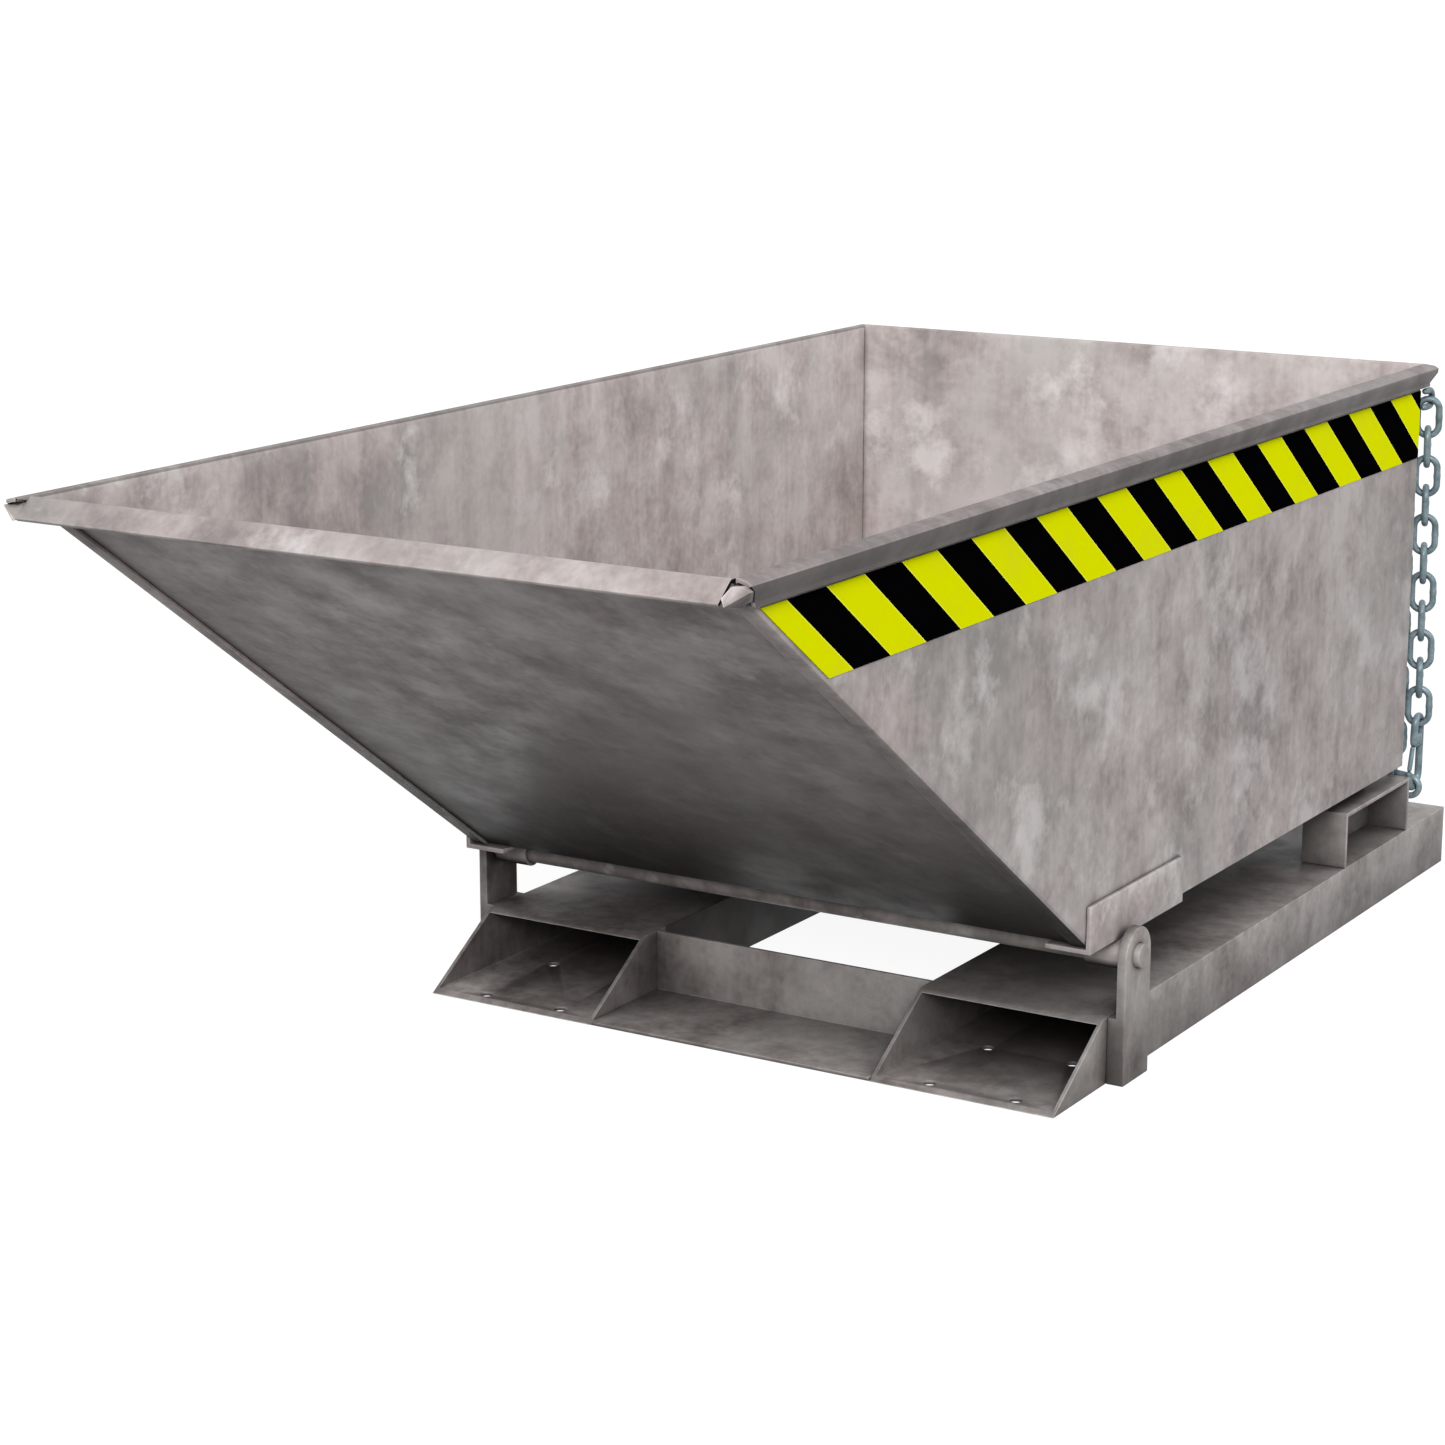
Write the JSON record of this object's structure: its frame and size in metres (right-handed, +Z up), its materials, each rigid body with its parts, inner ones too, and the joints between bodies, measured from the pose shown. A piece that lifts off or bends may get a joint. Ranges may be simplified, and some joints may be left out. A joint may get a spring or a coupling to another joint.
{
  "type": "forklift tipping skip",
  "caption": "Low open steel tipping hopper with a sloping front and rolled rim, hinged on a fork-pocket base, with hazard bands and a hooked safety chain at the rear.",
  "frame": {"origin": "bottom centre of the whole skip's bounding box, on the floor", "axes": "+X right, +Y rear (vertical wall and chain), -Y tipping lip, +Z up"},
  "size_m": [0.8148, 1.7364, 0.6457],
  "materials": {
    "raw_steel": "mottled mill scale",
    "yellow_black_band": "yellow with slanted black stripes",
    "galvanised_steel": "zinc plated"
  },
  "bodies": {
    "base_frame": {"fork_pocket_left": "raw_steel", "fork_pocket_right": "raw_steel", "front_tray": "raw_steel", "rear_tray": "raw_steel", "pivot_ear_left": "raw_steel", "pivot_ear_right": "raw_steel", "ear_packing_left": "raw_steel", "ear_packing_right": "raw_steel", "axle": "raw_steel", "rear_support_left": "raw_steel", "rear_support_right": "raw_steel", "rest_pad_left": "raw_steel", "rest_pad_right": "raw_steel"},
    "hopper": {"floor_sheet": "raw_steel", "side_sheet_left": "raw_steel", "side_sheet_right": "raw_steel", "rear_sheet": "raw_steel", "rim_corner_filler_left": "raw_steel", "rim_corner_filler_right": "raw_steel", "hinge_angle_left": "raw_steel", "hinge_angle_right": "raw_steel", "hinge_sleeve_left": "raw_steel", "hinge_sleeve_right": "raw_steel", "hazard_band_left": "yellow_black_band", "hazard_band_right": "yellow_black_band", "chain_eye": "galvanised_steel", "chain_staple": "galvanised_steel"},
    "safety_chain": {"hooked_strand_link_01": "galvanised_steel", "hooked_strand_link_02": "galvanised_steel", "hooked_strand_link_03": "galvanised_steel", "hooked_strand_link_04": "galvanised_steel", "hooked_strand_link_05": "galvanised_steel", "hooked_strand_link_06": "galvanised_steel", "hooked_strand_link_07": "galvanised_steel", "hooked_strand_link_08": "galvanised_steel", "hooked_strand_link_09": "galvanised_steel", "hooked_strand_link_10": "galvanised_steel", "hooked_strand_link_11": "galvanised_steel", "snap_hook_body": "galvanised_steel", "hooked_end_link": "galvanised_steel", "loose_strand_link_01": "galvanised_steel", "loose_strand_link_02": "galvanised_steel", "loose_strand_link_03": "galvanised_steel", "loose_strand_link_04": "galvanised_steel", "loose_strand_link_05": "galvanised_steel", "loose_strand_link_06": "galvanised_steel", "loose_strand_link_07": "galvanised_steel", "loose_strand_link_08": "galvanised_steel", "loose_strand_link_09": "galvanised_steel", "loose_strand_link_10": "galvanised_steel", "loose_strand_link_11": "galvanised_steel", "loose_strand_link_12": "galvanised_steel", "loose_strand_link_13": "galvanised_steel"},
    "hook_gate": {"snap_hook_gate": "galvanised_steel"}
  },
  "joints": [
    {"name": "hopper_tip", "type": "hinge", "parent": "base_frame", "child": "hopper", "pos_m": [0, -0.09025, 0.1329], "axis": [1, 0, 0], "range_deg": [0, 65]},
    {"name": "chain_swing", "type": "hinge", "parent": "hopper", "child": "safety_chain", "pos_m": [0.3825, 0.73555, 0.6022], "axis": [1, 0, 0], "range_deg": [0, 20]},
    {"name": "hook_gate_swing", "type": "hinge", "parent": "safety_chain", "child": "hook_gate", "pos_m": [0.3805, 0.74365, 0.17097], "axis": [0.9987, 0.0022, -0.0505], "range_deg": [0, 25], "stiffness_Nm_per_rad": 0.02, "springref_deg": -20.05}
  ]
}
